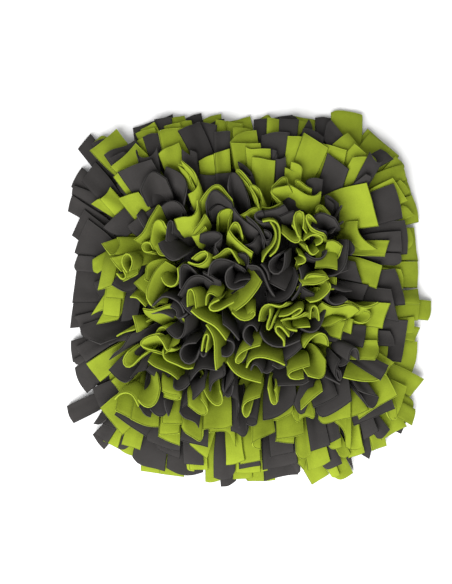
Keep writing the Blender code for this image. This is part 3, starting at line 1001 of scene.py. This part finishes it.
# ---------------------------------------------------------------- finishes
def fleece(name, colour, sheen):
    """Matt brushed fleece: a fine nap, slightly uneven in colour, with a painted highlight on its cut edges and painted
    shade towards the knots.
    """
    mat = bpy.data.materials.new(name)
    mat.use_nodes = True
    nodes, links = mat.node_tree.nodes, mat.node_tree.links
    bsdf = nodes["Principled BSDF"]
    bsdf.inputs["Roughness"].default_value = 0.95
    bsdf.inputs["Specular IOR Level"].default_value = 0.12
    bsdf.inputs["Sheen Weight"].default_value = sheen
    bsdf.inputs["Sheen Roughness"].default_value = 0.55
    bsdf.inputs["Sheen Tint"].default_value = (*[min(1.0, c * 1.6 + 0.08) for c in colour], 1.0)
    where = nodes.new("ShaderNodeTexCoord")
    patch = nodes.new("ShaderNodeTexNoise")
    patch.inputs["Scale"].default_value = 70.0
    patch.inputs["Detail"].default_value = 4.0
    nap = nodes.new("ShaderNodeTexNoise")
    nap.inputs["Scale"].default_value = 850.0
    nap.inputs["Detail"].default_value = 3.0
    links.new(where.outputs["Object"], patch.inputs["Vector"])
    links.new(where.outputs["Object"], nap.inputs["Vector"])
    ramp = nodes.new("ShaderNodeValToRGB")
    ramp.color_ramp.elements[0].position = 0.22
    ramp.color_ramp.elements[1].position = 0.78
    ramp.color_ramp.elements[0].color = (*[c * 0.80 for c in colour], 1.0)
    ramp.color_ramp.elements[1].color = (*[min(1.0, c * 1.18) for c in colour], 1.0)
    mix = nodes.new("ShaderNodeMath")
    mix.operation = "MULTIPLY_ADD"
    mix.inputs[1].default_value = 0.55
    half = nodes.new("ShaderNodeMath")
    half.operation = "MULTIPLY"
    half.inputs[1].default_value = 0.45
    links.new(nap.outputs["Fac"], half.inputs[0])
    links.new(patch.outputs["Fac"], mix.inputs[0])
    links.new(half.outputs["Value"], mix.inputs[2])
    tone = nodes.new("ShaderNodeAttribute")
    tone.attribute_name = "tone"
    strip = nodes.new("ShaderNodeMath")
    strip.operation = "MULTIPLY_ADD"
    strip.inputs[1].default_value = 0.16
    links.new(tone.outputs["Fac"], strip.inputs[0])
    links.new(mix.outputs["Value"], strip.inputs[2])
    links.new(strip.outputs["Value"], ramp.inputs["Fac"])
    # painted highlight on the cut edges: mixes towards a lighter colour by the "cut" attribute
    cut = nodes.new("ShaderNodeAttribute")
    cut.attribute_name = "cut"
    painted_highlight = nodes.new("ShaderNodeMix")
    painted_highlight.data_type = "RGBA"
    painted_highlight.inputs[7].default_value = (*[min(1.0, c * 1.18 + 0.006) for c in colour], 1.0)
    links.new(cut.outputs["Fac"], painted_highlight.inputs[0])
    links.new(ramp.outputs["Color"], painted_highlight.inputs[6])
    # painted shade towards the knots: mixes towards 0.42 of the colour by the "depth" attribute
    painted_shade = nodes.new("ShaderNodeAttribute")
    painted_shade.attribute_name = "depth"
    painted_shade_mix = nodes.new("ShaderNodeMix")
    painted_shade_mix.data_type = "RGBA"
    painted_shade_mix.inputs[7].default_value = (*[c * 0.42 for c in colour], 1.0)
    links.new(painted_shade.outputs["Fac"], painted_shade_mix.inputs[0])
    links.new(painted_highlight.outputs[2], painted_shade_mix.inputs[6])
    links.new(painted_shade_mix.outputs[2], bsdf.inputs["Base Color"])
    bump = nodes.new("ShaderNodeBump")
    bump.inputs["Strength"].default_value = 0.35
    bump.inputs["Distance"].default_value = 0.0005
    links.new(nap.outputs["Fac"], bump.inputs["Height"])
    links.new(bump.outputs["Normal"], bsdf.inputs["Normal"])
    return mat


GREEN = fleece("fleece_green", (0.184, 0.232, 0.0160), 0.02)
DARK = fleece("fleece_dark", (0.0275, 0.0255, 0.0245), 0.03)
BACKING = fleece("backing", (0.05, 0.048, 0.048), 0.05)

# ---------------------------------------------------------------- the mat
shown = visible_strips()
every = shown + hidden_strips()
lift(every, lay(every))
settle(every, 96)

COURSES = [("edge", 0.0, 0.0115), ("outer", 0.0115, 0.025), ("middle", 0.025, STANDING), ("crown", STANDING, 1.0)]
CAD_OF = {"edge": "comb_edge", "outer": "comb_outer", "middle": "comb_middle", "crown": "comb_inner"}
left = {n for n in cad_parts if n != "base_sheet"}
for course, low, high in COURSES:
    for letter, tone, mat in (("G", "green", GREEN), ("D", "dark", DARK)):
        mine = [s for s in every if s.colour == letter and low <= s.height < high]
        name = f"fringe_{course}_{tone}"
        obj = joined(name, mine)
        obj.data.materials.append(mat)
        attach(obj, "root")
        nodes = sorted(
            n for n in left
            if (n.startswith(CAD_OF[course]) or (course == "crown" and n.startswith("crown_strip")))
        )
        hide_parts(*nodes)

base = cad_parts["base_sheet"]
base.data.materials.clear()
base.data.materials.append(BACKING)

# ---------------------------------------------------------------- floor, light and camera
scene = bpy.context.scene
scene.view_settings.view_transform = "Standard"
mesh = bpy.data.meshes.new("floor")
mesh.from_pydata([(-4, -4, 0), (4, -4, 0), (4, 4, 0), (-4, 4, 0)], [], [(0, 1, 2, 3)])
floor = bpy.data.objects.new("floor", mesh)
floor.location.z = -0.0002
scene.collection.objects.link(floor)
paper = bpy.data.materials.new("paper")
paper.use_nodes = True
paper.node_tree.nodes["Principled BSDF"].inputs["Base Color"].default_value = (0.80, 0.80, 0.80, 1)
paper.node_tree.nodes["Principled BSDF"].inputs["Roughness"].default_value = 0.9
paper.node_tree.nodes["Principled BSDF"].inputs["Specular IOR Level"].default_value = 0.0
mesh.materials.append(paper)

world = bpy.data.worlds.new("studio")
world.use_nodes = True
world.node_tree.nodes["Background"].inputs["Color"].default_value = (1, 1, 1, 1)
world.node_tree.nodes["Background"].inputs["Strength"].default_value = 0.60
scene.world = world


def lamp(name, where, size, power, at=(0.0, 0.0, 0.02)):
    data = bpy.data.lights.new(name, "AREA")
    data.shape = "DISK"
    data.size = size
    data.energy = power
    obj = bpy.data.objects.new(name, data)
    obj.location = where
    d = np.array(at) - np.array(where)
    from mathutils import Vector
    obj.rotation_mode = "QUATERNION"
    obj.rotation_quaternion = Vector(d).to_track_quat("-Z", "Y")
    scene.collection.objects.link(obj)
    return obj


lamp("key", (-0.7, -1.75, 2.0), 2.5, 170.0)

cam = bpy.data.cameras.new("camera")
cam.sensor_width = 36.0
cam.lens = 36.0 * (DISTANCE / PX) / 584.0
cam.clip_start, cam.clip_end = 0.05, 20.0
eye = bpy.data.objects.new("camera", cam)
eye.location = EYE
eye.rotation_euler = (math.radians(90.0) - TILT, 0.0, 0.0)
scene.collection.objects.link(eye)
scene.camera = eye
